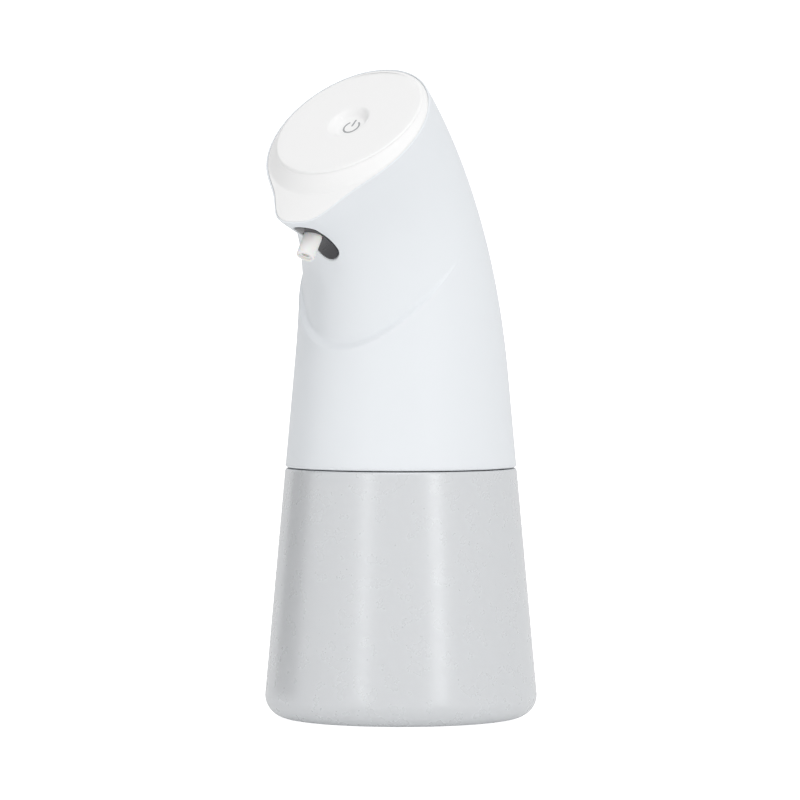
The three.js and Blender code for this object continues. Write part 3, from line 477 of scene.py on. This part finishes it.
def streaked(slot, colour, roughness, *, along, across, depth, variation, **sockets):
    """A satin surface with fine streaks that run around the Z axis: `along` and `across` are their sizes."""
    finish = moulded(slot, colour, roughness, **sockets)
    mapping = finish.node("ShaderNodeMapping")
    mapping.inputs["Scale"].default_value = (across / along, across / along, 1)
    finish.link(finish.place, mapping.inputs["Vector"])
    streaks = finish.noise(across, detail=1.0, place=mapping.outputs["Vector"])
    broad = finish.noise(12)
    cloud = finish.mixed(broad, shaded(colour, 1 - variation), shaded(colour, 1 + variation))
    tint = finish.mixed(finish.ranged(streaks, 0.3, 0.7, 0, 1), shaded(colour, 1 - variation), cloud)
    finish.link(tint, finish.shader.inputs["Base Color"])
    grain = finish.shader.inputs["Normal"].links[0].from_socket
    finish.link(finish.bump(streaks, depth, grain), finish.shader.inputs["Normal"])
    return finish


def laminate(slot, colour):
    """Solder mask over copper tracks."""
    finish = moulded(slot, colour, 0.38, grain=0.2, grain_depth=0.004, Coat_Weight=0.4)
    tracks = finish.node("ShaderNodeTexBrick")
    tracks.inputs["Scale"].default_value = 1 / (9 * MM)
    tracks.inputs["Mortar Size"].default_value = 0.03
    finish.link(finish.place, tracks.inputs["Vector"])
    base = finish.shader.inputs["Base Color"].links[0].from_socket
    lighter = finish.mixed(tracks.outputs["Fac"], base, shaded(colour, 1.7))
    finish.link(lighter, finish.shader.inputs["Base Color"])
    return finish


def foil(slot, colour):
    """Laminated foil with soft creases."""
    finish = moulded(slot, colour, 0.34, mottle=9, Metallic=0.85)
    creases = finish.node("ShaderNodeTexVoronoi")
    creases.feature = "SMOOTH_F1"
    creases.inputs["Scale"].default_value = 1 / (7 * MM)
    finish.link(finish.place, creases.inputs["Vector"])
    finish.link(finish.bump(creases.outputs["Distance"], 0.12), finish.shader.inputs["Normal"])
    return finish


SLOT_COLOURS = {entry["slot"]: tuple(entry["base_color"]) for entry in frame["record"]["materials"]}


def slot_materials():
    c = SLOT_COLOURS
    made = [
        streaked("frosted_bottle", shaded(c["frosted_bottle"], 0.84), 0.28, along=30, across=1.2,
                 depth=0.0004, variation=0.006, grain=2.5, grain_depth=0.0004, spread=0.015, Metallic=0.2),
        moulded("pale_shell", shaded(c["pale_shell"], 0.93), 0.42, grain=1.2, grain_depth=0.002, mottle=26,
                variation=0.006),
        moulded("white_cap", shaded(c["white_cap"], 0.98), 0.42, grain=1.2, grain_depth=0.002, mottle=20,
                variation=0.005),
        # The window's edges are painted much lighter: a painted highlight along its rim.
        moulded("smoked_window", c["smoked_window"], 0.16, grain=1.2, grain_depth=0.002,
                spread=0.03, edge_wear_and_highlight_tint=1.6),
        moulded("milky_plastic", c["milky_plastic"], 0.34, grain=0.3, mottle=6,
                Subsurface_Weight=0.25, Subsurface_Scale=0.002),
        moulded("grey_moulding", c["grey_moulding"], 0.46, grain=0.3, grain_depth=0.015, edge_wear_and_highlight_tint=1.3),
        moulded("silicone", c["silicone"], 0.6, grain=0.25, grain_depth=0.012,
                Subsurface_Weight=0.2, Subsurface_Scale=0.001, Sheen_Weight=0.15),
        moulded("acetal", c["acetal"], 0.38, grain=0.3, mottle=5, Subsurface_Weight=0.15,
                Subsurface_Scale=0.001),
        laminate("board_laminate", c["board_laminate"]),
        moulded("black_plastic", c["black_plastic"], 0.42, grain=0.2, grain_depth=0.012, edge_wear_and_highlight_tint=1.8),
        moulded("lead_sheath", c["lead_sheath"], 0.48, grain=0.15, grain_depth=0.01, mottle=4),
        moulded("ferrite", c["ferrite"], 0.7, grain=0.2, grain_depth=0.03, variation=0.15, mottle=3),
        foil("cell_foil", c["cell_foil"]),
        streaked("copper", c["copper"], 0.32, along=6, across=0.3, depth=0.02, variation=0.06,
                 Metallic=1.0),
        streaked("plated_steel", c["plated_steel"], 0.28, along=5, across=0.15, depth=0.01,
                 variation=0.05, Metallic=1.0),
    ]
    return {finish.name: finish.material for finish in made}


MATERIALS = slot_materials()


def symbol_ink():
    """Grey printing ink, a little uneven."""
    return moulded("symbol_ink", (0.33, 0.34, 0.35), 0.5, grain=0.1, grain_depth=0.003, mottle=1,
                   variation=0.08).material


# ---------- how a finished piece is handed over ----------

SLOT_OF = {entry["node"]: entry["material_slot"] for entry in frame["record"]["subparts"]}
BODY_OF = {
    node: body for body, nodes in frame["record"]["behaviour"]["bodies"].items() for node in nodes
}
SHARP_ANGLE = math.radians(38)


def smooth(obj):
    obj.data.polygons.foreach_set("use_smooth", [True] * len(obj.data.polygons))
    obj.data.set_sharp_from_angle(angle=SHARP_ANGLE)
    return obj


def stand_for(obj, node):
    """obj shows a CAD node: it has that node's material and rides on its body."""
    smooth(obj)
    obj.data.materials.clear()
    obj.data.materials.append(MATERIALS[SLOT_OF[node]])
    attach(obj, BODY_OF[node])
    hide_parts(node)
    return obj


# ---------- bottle ----------

ROUND = full_turn(240)


def lug_share(azimuth):
    """1 over a lug and 0 between lugs. The first lug is centred on +X."""
    pitch = 2 * math.pi / LUG_COUNT
    from_middle = abs((azimuth - math.pi / 2 + pitch / 2) % pitch - pitch / 2)
    ramp = math.radians(2)
    return 1 - smoothstep(from_middle, LUG_ARC / 2 - ramp, LUG_ARC / 2)


def bottle_ring(radius, z, lug=0):
    return [UPRIGHT.at(azimuth, radius + lug * lug_share(azimuth), z) for azimuth in ROUND]


def bottle():
    bottle_top = SEAM_Z - GAP / 2
    shoulder = cone_radius(bottle_top)
    steps = 14
    foot = []
    for step in range(steps + 1):
        angle = math.pi / 2 * step / steps
        radius = cone_radius(FOOT_ROUND) - FOOT_ROUND * (1 - math.sin(angle))
        foot.append((radius, FOOT_ROUND * (1 - math.cos(angle))))
    rows = 24
    wall = [FOOT_ROUND + (bottle_top - SEAM_ROUND - FOOT_ROUND) * row / rows for row in range(1, rows)]
    below = [(0, 0), *foot, *[(cone_radius(z), z) for z in wall]]
    below += [(shoulder, bottle_top, SEAM_ROUND), (NECK_RADIUS, bottle_top, 0.7), (NECK_RADIUS, LUG_BOTTOM)]
    lug_top = LUG_BOTTOM + LUG_HEIGHT
    edge = 0.3
    lugs = [
        (LUG_BOTTOM, LUG_DEPTH - edge), (LUG_BOTTOM + edge, LUG_DEPTH),
        (lug_top - edge, LUG_DEPTH), (lug_top, LUG_DEPTH - edge), (lug_top, 0),
    ]
    inner_top = bottle_top - WALL
    above = [
        (NECK_RADIUS, lug_top), (NECK_RADIUS, NECK_TOP, 0.5), (NECK_BORE, NECK_TOP, 0.5),
        (NECK_BORE, inner_top, 1), (shoulder - WALL, inner_top, 2),
        (cone_radius(FLOOR_CORNER) - WALL - 1, FLOOR_CORNER), (FOOT_RADIUS - FOOT_ROUND, WALL), (0, WALL),
    ]
    rings = [bottle_ring(radius, z) for radius, z in softened(below)]
    rings += [bottle_ring(NECK_RADIUS, z, depth) for z, depth in lugs]
    rings += [bottle_ring(radius, z) for radius, z in softened(above)[1:]]
    return stand_for(mesh_object("bottle_shell", skin(rings)), "bottle")


# ---------- housing ----------

CHAMFER = 0.3
PORT_Y = highest("port_cover").y
PORT_MIDDLE = (lowest("port_cover").z + highest("port_cover").z) / 2
PORT_HEIGHT = highest("port_cover").z - lowest("port_cover").z
PORT_WIDTH = highest("port_cover").x - lowest("port_cover").x
PORT = Plane(PORT_Y, PORT_MIDDLE, -90)
PORT_CORNER = 1.1
FLAP_DEPTH = 1.8


def on_surface(tree, plane, outline, lift):
    """The outline laid on a surface along the plane's normal, lifted off it."""
    outside = 15
    points = []
    for across, along in outline:
        start = plane.spot(across, along, outside)
        place = tree.ray_cast(start, -plane.normal)[0]
        points.append(place + plane.normal * lift)
    return points


def flared_cutter(tree, plane, outline_at, depth):
    """Cuts an opening with a chamfered edge, GAP wider than the plug that outline_at(0) outlines."""
    outside = 12
    turn = 0.4 * CHAMFER
    wide = outline_at(GAP + 2 * CHAMFER)
    return skin([
        [plane.spot(across, along, -depth) for across, along in outline_at(GAP)],
        on_surface(tree, plane, outline_at(GAP), -CHAMFER),
        on_surface(tree, plane, outline_at(GAP + turn), -turn),
        on_surface(tree, plane, wide, CHAMFER),
        [plane.spot(across, along, outside) for across, along in wide],
    ])


def port_outline(margin):
    width, height = PORT_WIDTH + 2 * margin, PORT_HEIGHT + 2 * margin
    return rounded_rectangle(width, height, PORT_CORNER + margin, corner_steps=6, side_steps=8)


def port_mouth():
    """The hole behind the flap, through which the plug reaches the charge socket."""
    socket_low, socket_high = lowest("charge_socket"), highest("charge_socket")
    width = socket_high.x - socket_low.x + 2 * GAP
    height = socket_high.z - socket_low.z + 2 * GAP
    middle = (socket_low.z + socket_high.z) / 2
    corner = height / 2.2
    inside, outside = -5, 2
    outline = [
        (across, along + PORT_MIDDLE - middle)
        for across, along in rounded_rectangle(width, height, corner, corner_steps=8, side_steps=4)
    ]
    return skin([
        [PORT.spot(across, along, level) for across, along in outline] for level in (inside, outside)
    ])


def housing():
    """Makes the shell, and returns the search tree of its surface before the openings are cut."""
    lip_round = 0.3
    inner_round = 0.15
    pocket_margin = LIP - GAP
    outer = body_rings(0, -lip_round)
    seam = [cone_ring(inset, SEAM_Z + GAP / 2 + drop) for inset, drop in reversed(quarter_round(SEAM_ROUND))]
    lip = [rim_ring(inset, -drop) for inset, drop in quarter_round(lip_round)[1:]]
    lip += [rim_ring(pocket_margin - inset, -drop) for inset, drop in reversed(quarter_round(inner_round))]
    pocket = [
        rim_ring(pocket_margin, -GAP),
        rim_ring(pocket_margin + LIP_DRAFT, -POCKET_DEPTH),
        rim_ring(WALL, -POCKET_DEPTH),
    ]
    inner = body_rings(WALL, -POCKET_DEPTH)[::-1][1:]
    inner.append(cone_ring(WALL, SEAM_Z + GAP / 2))
    mesh = skin(seam + outer + lip + pocket + inner, joined=True)
    tree = BVHTree.FromBMesh(mesh)
    obj = mesh_object("housing_shell", mesh)
    combine(obj, [
        flared_cutter(tree, WINDOW, oval, 2 * WALL),
        flared_cutter(tree, PORT, port_outline, FLAP_DEPTH + GAP),
        port_mouth(),
    ], "DIFFERENCE")
    stand_for(obj, "housing")
    return tree


# ---------- cap and touch panel ----------


def plane_ring(plane, radius, height, shift=0):
    return [plane.at(azimuth, radius, height, shift) for azimuth in BODY_AZIMUTHS]


def between(first, second, share):
    return [a.lerp(b, share) for a, b in zip(first, second)]


SEAM_DEPTH = 0.5                      # how far the disc's edge hangs over the riser
FINE_GAP = 0.08                       # a seam too fine to be seen as a gap
PANEL_BORE = PANEL_RADIUS - 0.8


def top_cap():
    plate_thick = 2.2
    edge = 0.35
    riser_radius, riser_shift, riser_wall = 26.5, 0.5, 2.4
    riser_steps = 8
    foot_round = 0.25
    ledge = PANEL_BORE - 1.8
    base = plane_ring(RIM, riser_radius - GAP, foot_round, riser_shift)
    brow = plane_ring(PANEL, PANEL_RADIUS + SEAM_DEPTH, -SEAM_DEPTH - FINE_GAP)
    margin = LIP - GAP + FINE_GAP
    rings = [rim_ring(LIP + LIP_DRAFT, -plate_thick)]
    rings += [rim_ring(margin + inset, -drop) for inset, drop in quarter_round(edge)]
    rings += [
        plane_ring(RIM, riser_radius + foot_round, 0, riser_shift),
        plane_ring(RIM, riser_radius, 0.06, riser_shift),
    ]
    rings += [between(base, brow, step / riser_steps) for step in range(riser_steps + 1)]
    rings += [
        plane_ring(PANEL, PANEL_BORE, -SEAM_DEPTH - FINE_GAP),
        plane_ring(PANEL, PANEL_BORE, -PANEL_THICK - GAP),
        plane_ring(PANEL, ledge, -PANEL_THICK - GAP),
        plane_ring(PANEL, ledge, GAP - 2 * PANEL_THICK),
        plane_ring(RIM, riser_radius - riser_wall, -GAP, riser_shift),
        plane_ring(RIM, riser_radius - riser_wall, -plate_thick, riser_shift),
    ]
    return stand_for(mesh_object("cap_plate", skin(rings, joined=True)), "top_cap")


def touch_panel():
    outer = PANEL_BORE - GAP
    under = 1.6
    steps, flat_rows = 16, 12
    stake_radius, stake_end, stake_places = 0.9, -8, (-14, 14)
    dish = [(0, -DISH_DEPTH)]
    for step in range(steps + 1):
        radius = DISH_FLAT + (DISH_RADIUS - DISH_FLAT) * step / steps
        dish.append((radius, DISH_DEPTH * (smoothstep(radius, DISH_FLAT, DISH_RADIUS) - 1)))
    rows = [DISH_RADIUS + (outer - DISH_RADIUS) * row / flat_rows for row in range(1, flat_rows)]
    outline = [
        *dish, *[(radius, 0) for radius in rows],
        (PANEL_RADIUS, 0, 0.35), (PANEL_RADIUS + SEAM_DEPTH, -SEAM_DEPTH),
        (outer, -SEAM_DEPTH), (outer, -PANEL_THICK, 0.2), (DISH_RADIUS + under, -PANEL_THICK),
        (DISH_FLAT + under, -DISH_DEPTH - under), (0, -DISH_DEPTH - under),
    ]
    obj = mesh_object("touch_disc", turned(outline, PANEL, 180))
    stake_top = GAP - PANEL_THICK
    stake = [(0, stake_end), (stake_radius, stake_end), (stake_radius, stake_top), (0, stake_top)]
    stakes = [turned(stake, PANEL, 24, x) for x in stake_places]
    return stand_for(combine(obj, stakes, "UNION"), "touch_panel")


def standby_symbol():
    """The generic standby mark at the bottom of the dish: an open ring, and a bar in the opening."""
    ring_radius, bar_start, bar_length = 2.6, 0.5, 2.6
    line, thick = 0.27, 0.05
    opening = math.radians(42)
    steps, bar_steps = 48, 8
    back = math.pi
    arc = []
    for step in range(steps + 1):
        turn = back + opening + (2 * math.pi - 2 * opening) * step / steps
        arc.append(Vector((ring_radius * math.sin(turn), -ring_radius * math.cos(turn))))
    bar = [Vector((0, bar_start + bar_length * step / bar_steps)) for step in range(bar_steps + 1)]
    mark = bmesh.new()
    for path in (arc, bar):
        add_stroke(mark, path, line, thick)
    obj = smooth(mesh_object("standby_symbol", mark))
    obj.data.materials.append(symbol_ink())
    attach(obj, "head")
    return obj


def add_stroke(mark, path, half_width, thick):
    """A round-ended line of ink along a path on the dish's floor, added to a mesh."""
    floor = -DISH_DEPTH
    ends = 6
    left, right = [], []
    for k, point in enumerate(path):
        ahead = (path[min(k + 1, len(path) - 1)] - path[max(k - 1, 0)]).normalized()
        side = Vector((-ahead.y, ahead.x)) * half_width
        left.append(point + side)
        right.append(point - side)

    def round_end(centre, start):
        first = math.atan2(*(start - centre).yx)
        turns = [first - math.pi * step / ends for step in range(1, ends)]
        return [centre + half_width * Vector((math.cos(turn), math.sin(turn))) for turn in turns]

    outline = left + round_end(path[-1], left[-1]) + right[::-1] + round_end(path[0], right[0])
    low = [mark.verts.new(PANEL.spot(p.x, p.y, floor - thick)) for p in outline]
    high = [mark.verts.new(PANEL.spot(p.x, p.y, floor + thick)) for p in outline]
    sides = [(low[k - 1], low[k], high[k], high[k - 1]) for k in range(len(outline))]
    for corners in (list(reversed(low)), high, *sides):
        mark.faces.new(corners)
    bmesh.ops.recalc_face_normals(mark, faces=mark.faces)


# ---------- sensor window and nozzle ----------


def flush_plug(tree, plane, outline_at, inset, depth, edge=0.15):
    """A plug whose outer face follows the surface, `inset` under it."""
    rim = outline_at(0)
    inner = outline_at(-edge)
    turn = 0.3 * edge
    rings = [
        [plane.spot(across, along, -depth) for across, along in rim],
        on_surface(tree, plane, rim, -inset - edge),
        on_surface(tree, plane, outline_at(-turn), -inset - turn),
        on_surface(tree, plane, inner, -inset),
    ]
    shares = [0.94, 0.85, 0.7, 0.55, 0.4, 0.25, 0.1, 0]
    rings += [
        on_surface(tree, plane, [(across * share, along * share) for across, along in inner], -inset)
        for share in shares
    ]
    return skin(rings)


def sensor_window(tree):
    recessed = 0.15
    obj = mesh_object("window_lens", flush_plug(tree, WINDOW, oval, recessed, WALL))
    radius, reach = NOZZLE_RADIUS + GAP, 8
    hole = turned([(0, -reach), (radius, -reach), (radius, reach), (0, reach)], NOZZLE, 64)
    return stand_for(combine(obj, [hole], "DIFFERENCE"), "sensor_window")


def nozzle():
    bore = 1.2
    barb_radius, barb_end = 1.9, -9.4
    flange_seat, flange_thick = -3.6, 0.9
    flange = NOZZLE_RADIUS + 0.9
    mouth_wall, mouth_depth = 0.8, 0.8
    mouth_floor = NOZZLE_REACH - mouth_depth
    outline = [
        (bore, barb_end), (barb_radius, barb_end, 0.3), (barb_radius, flange_seat),
        (flange, flange_seat, 0.2), (flange, flange_seat + flange_thick, 0.2),
        (NOZZLE_RADIUS, flange_seat + flange_thick),
        (NOZZLE_RADIUS, NOZZLE_REACH, 0.45), (NOZZLE_RADIUS - mouth_wall, NOZZLE_REACH, 0.12),
        (NOZZLE_RADIUS - mouth_wall - 0.15, mouth_floor), (bore, mouth_floor),
    ]
    return stand_for(mesh_object("nozzle_tip", turned(outline, NOZZLE, 72)), "nozzle")


# ---------- port flap ----------


def port_flap(tree):
    """The flap, with the plug that goes into the charge socket."""
    plug_width, plug_height, plug_corner, plug_rise = 7.2, 1.8, 0.8, 0.2
    plug_tip = lowest("port_cover").y - PORT_Y
    obj = mesh_object("port_flap_skin", flush_plug(tree, PORT, port_outline, 0, FLAP_DEPTH))
    outline = rounded_rectangle(plug_width, plug_height, plug_corner, corner_steps=8, side_steps=4)
    plug = skin([
        [PORT.spot(across, along + plug_rise, height) for across, along in outline]
        for height in (plug_tip, -1)
    ])
    return stand_for(combine(obj, [plug], "UNION"), "port_cover")


# ---------- CAD pieces that keep their shape ----------

FLAT_NODES = (
    "touch_board", "sensor_board", "main_board", "control_chip", "lead_header", "status_light",
    "battery_cradle", "pump_body", "pump_cover",
)


def keep_flat(node):
    """A flat-faced CAD node stays as it is, with its slot's material."""
    obj = frame["nodes"][node]
    obj.data.materials.clear()
    obj.data.materials.append(MATERIALS[SLOT_OF[node]])


def rounded_copy(node):
    """A round CAD node shown through a copy whose facets are shaded smoothly and whose edges are eased."""
    mesh = bmesh.new()
    mesh.from_mesh(frame["nodes"][node].data)
    bmesh.ops.remove_doubles(mesh, verts=mesh.verts, dist=1e-6)
    data = bpy.data.meshes.new(node + "_finish")
    mesh.to_mesh(data)
    mesh.free()
    obj = bpy.data.objects.new(node + "_finish", data)
    bpy.context.scene.collection.objects.link(obj)
    stand_for(obj, node)
    edge = obj.modifiers.new("eased_edges", "BEVEL")
    edge.width = 0.12 * MM
    edge.segments = 2
    edge.limit_method = "ANGLE"
    edge.angle_limit = SHARP_ANGLE
    edge.harden_normals = False
    return obj


# ---------- build ----------

bottle()
BODY_TREE = housing()
top_cap()
touch_panel()
standby_symbol()
sensor_window(BODY_TREE)
nozzle()
port_flap(BODY_TREE)

for node_name, node in sorted(frame["nodes"].items()):
    if node_name in FLAT_NODES:
        keep_flat(node_name)
    elif not node.hide_render:
        rounded_copy(node_name)

# ---------- floor, light and camera ----------

CAMERA_AZIMUTH = math.radians(36)
CAMERA_ELEVATION = math.radians(1.396)
CAMERA_DISTANCE = 1.4639
CAMERA_LENS = 212.14
CAMERA_TARGET_Z = 0.09842
CAMERA_SHIFT = -0.0012

FLOOR_GLOW = 0.8
WORLD_LIGHT = 0.81
BACKDROP_RADIUS = 8000
FLOOR_REACH = 9000
PALE = (0.9, 0.9, 0.9)
BOUNCE = (0.85, 0.85, 0.85)
DARK = (0.03, 0.03, 0.03)


def studio_direction(turn, elevation):
    """A direction seen from the object: turn is counted from the camera, positive to its right."""
    azimuth = CAMERA_AZIMUTH + turn
    return Vector((
        math.sin(azimuth) * math.cos(elevation),
        -math.cos(azimuth) * math.cos(elevation),
        math.sin(elevation),
    ))


def aim(obj, direction):
    obj.rotation_mode = "QUATERNION"
    obj.rotation_quaternion = (-direction).to_track_quat("-Z", "Y")


def add_camera():
    camera = bpy.data.objects.new("camera", bpy.data.cameras.new("camera"))
    camera.data.lens = CAMERA_LENS
    camera.data.shift_x = CAMERA_SHIFT
    direction = studio_direction(0, CAMERA_ELEVATION)
    camera.location = Vector((0, 0, CAMERA_TARGET_Z)) + direction * CAMERA_DISTANCE
    aim(camera, direction)
    bpy.context.scene.collection.objects.link(camera)
    bpy.context.scene.camera = camera


def add_softbox(name, turn, elevation, distance, size, power):
    """A rectangular lamp that faces the object. Angles are in degrees, lengths in metres."""
    light = bpy.data.lights.new(name, "AREA")
    light.shape = "RECTANGLE"
    light.size, light.size_y = size
    light.energy = power
    obj = bpy.data.objects.new(name, light)
    direction = studio_direction(math.radians(turn), math.radians(elevation))
    obj.location = Vector((0, 0, CAMERA_TARGET_Z)) + direction * distance
    aim(obj, direction)
    obj.visible_camera = False
    bpy.context.scene.collection.objects.link(obj)


def stage_surface(name, mesh, colour, glow):
    """Part of the studio around the object, which isn't part of it."""
    obj = mesh_object(name, mesh)
    finish = Finish(name)
    tint = finish.mixed(finish.noise(400), shaded(colour, 0.99), colour)
    finish.link(tint, finish.shader.inputs["Base Color"])
    finish.set(Roughness=0.9, Emission_Color=(1, 1, 1, 1), Emission_Strength=glow)
    obj.data.materials.append(finish.material)
    return obj


def floor_mesh(below):
    mesh = bmesh.new()
    corners = [(x * FLOOR_REACH, y * FLOOR_REACH, below) for x, y in ((-1, -1), (1, -1), (1, 1), (-1, 1))]
    mesh.faces.new([mesh.verts.new(corner) for corner in corners])
    return mesh


def add_studio():
    """A white floor and backdrop that the camera sees, and a pale floor that bounces light up."""
    backdrop = bmesh.new()
    bmesh.ops.create_icosphere(backdrop, subdivisions=4, radius=BACKDROP_RADIUS)
    seen = [
        stage_surface("backdrop", backdrop, PALE, glow=1.0),
        stage_surface("floor", floor_mesh(-0.2), PALE, FLOOR_GLOW),
    ]
    for obj in seen:
        obj.visible_diffuse = False
        obj.visible_glossy = False
        obj.visible_transmission = False
        obj.visible_shadow = False
    bounce = stage_surface("floor_bounce", floor_mesh(-4), BOUNCE, glow=0.1)
    bounce.visible_camera = False


def add_card(name, turn, distance, width, height):
    """A dark card beside the object, out of the picture, that shapes its edge."""
    middle = studio_direction(math.radians(turn), 0) * distance / MM
    side = Vector((-middle.y, middle.x, 0)).normalized() * width / MM / 2
    rise = Vector((0, 0, height / MM))
    mesh = bmesh.new()
    corners = (middle - side, middle + side, middle + side + rise, middle - side + rise)
    mesh.faces.new([mesh.verts.new(corner) for corner in corners])
    stage_surface(name, mesh, DARK, glow=0).visible_camera = False


def add_world():
    world = bpy.data.worlds.new("studio")
    world.use_nodes = True
    world.node_tree.nodes["Background"].inputs["Color"].default_value = (1, 1, 1, 1)
    world.node_tree.nodes["Background"].inputs["Strength"].default_value = WORLD_LIGHT
    bpy.context.scene.world = world
    bpy.context.scene.view_settings.view_transform = "Standard"


add_camera()
add_world()
add_studio()
add_softbox("key", turn=5, elevation=60, distance=2.2, size=(2.0, 2.0), power=12)
add_softbox("strip_left", turn=-33, elevation=4, distance=1.3, size=(0.13, 1.4), power=1.0)
add_softbox("strip_right", turn=33, elevation=4, distance=1.3, size=(0.16, 1.4), power=1.5)
add_card("card_left", turn=-115, distance=0.6, width=0.37, height=0.8)
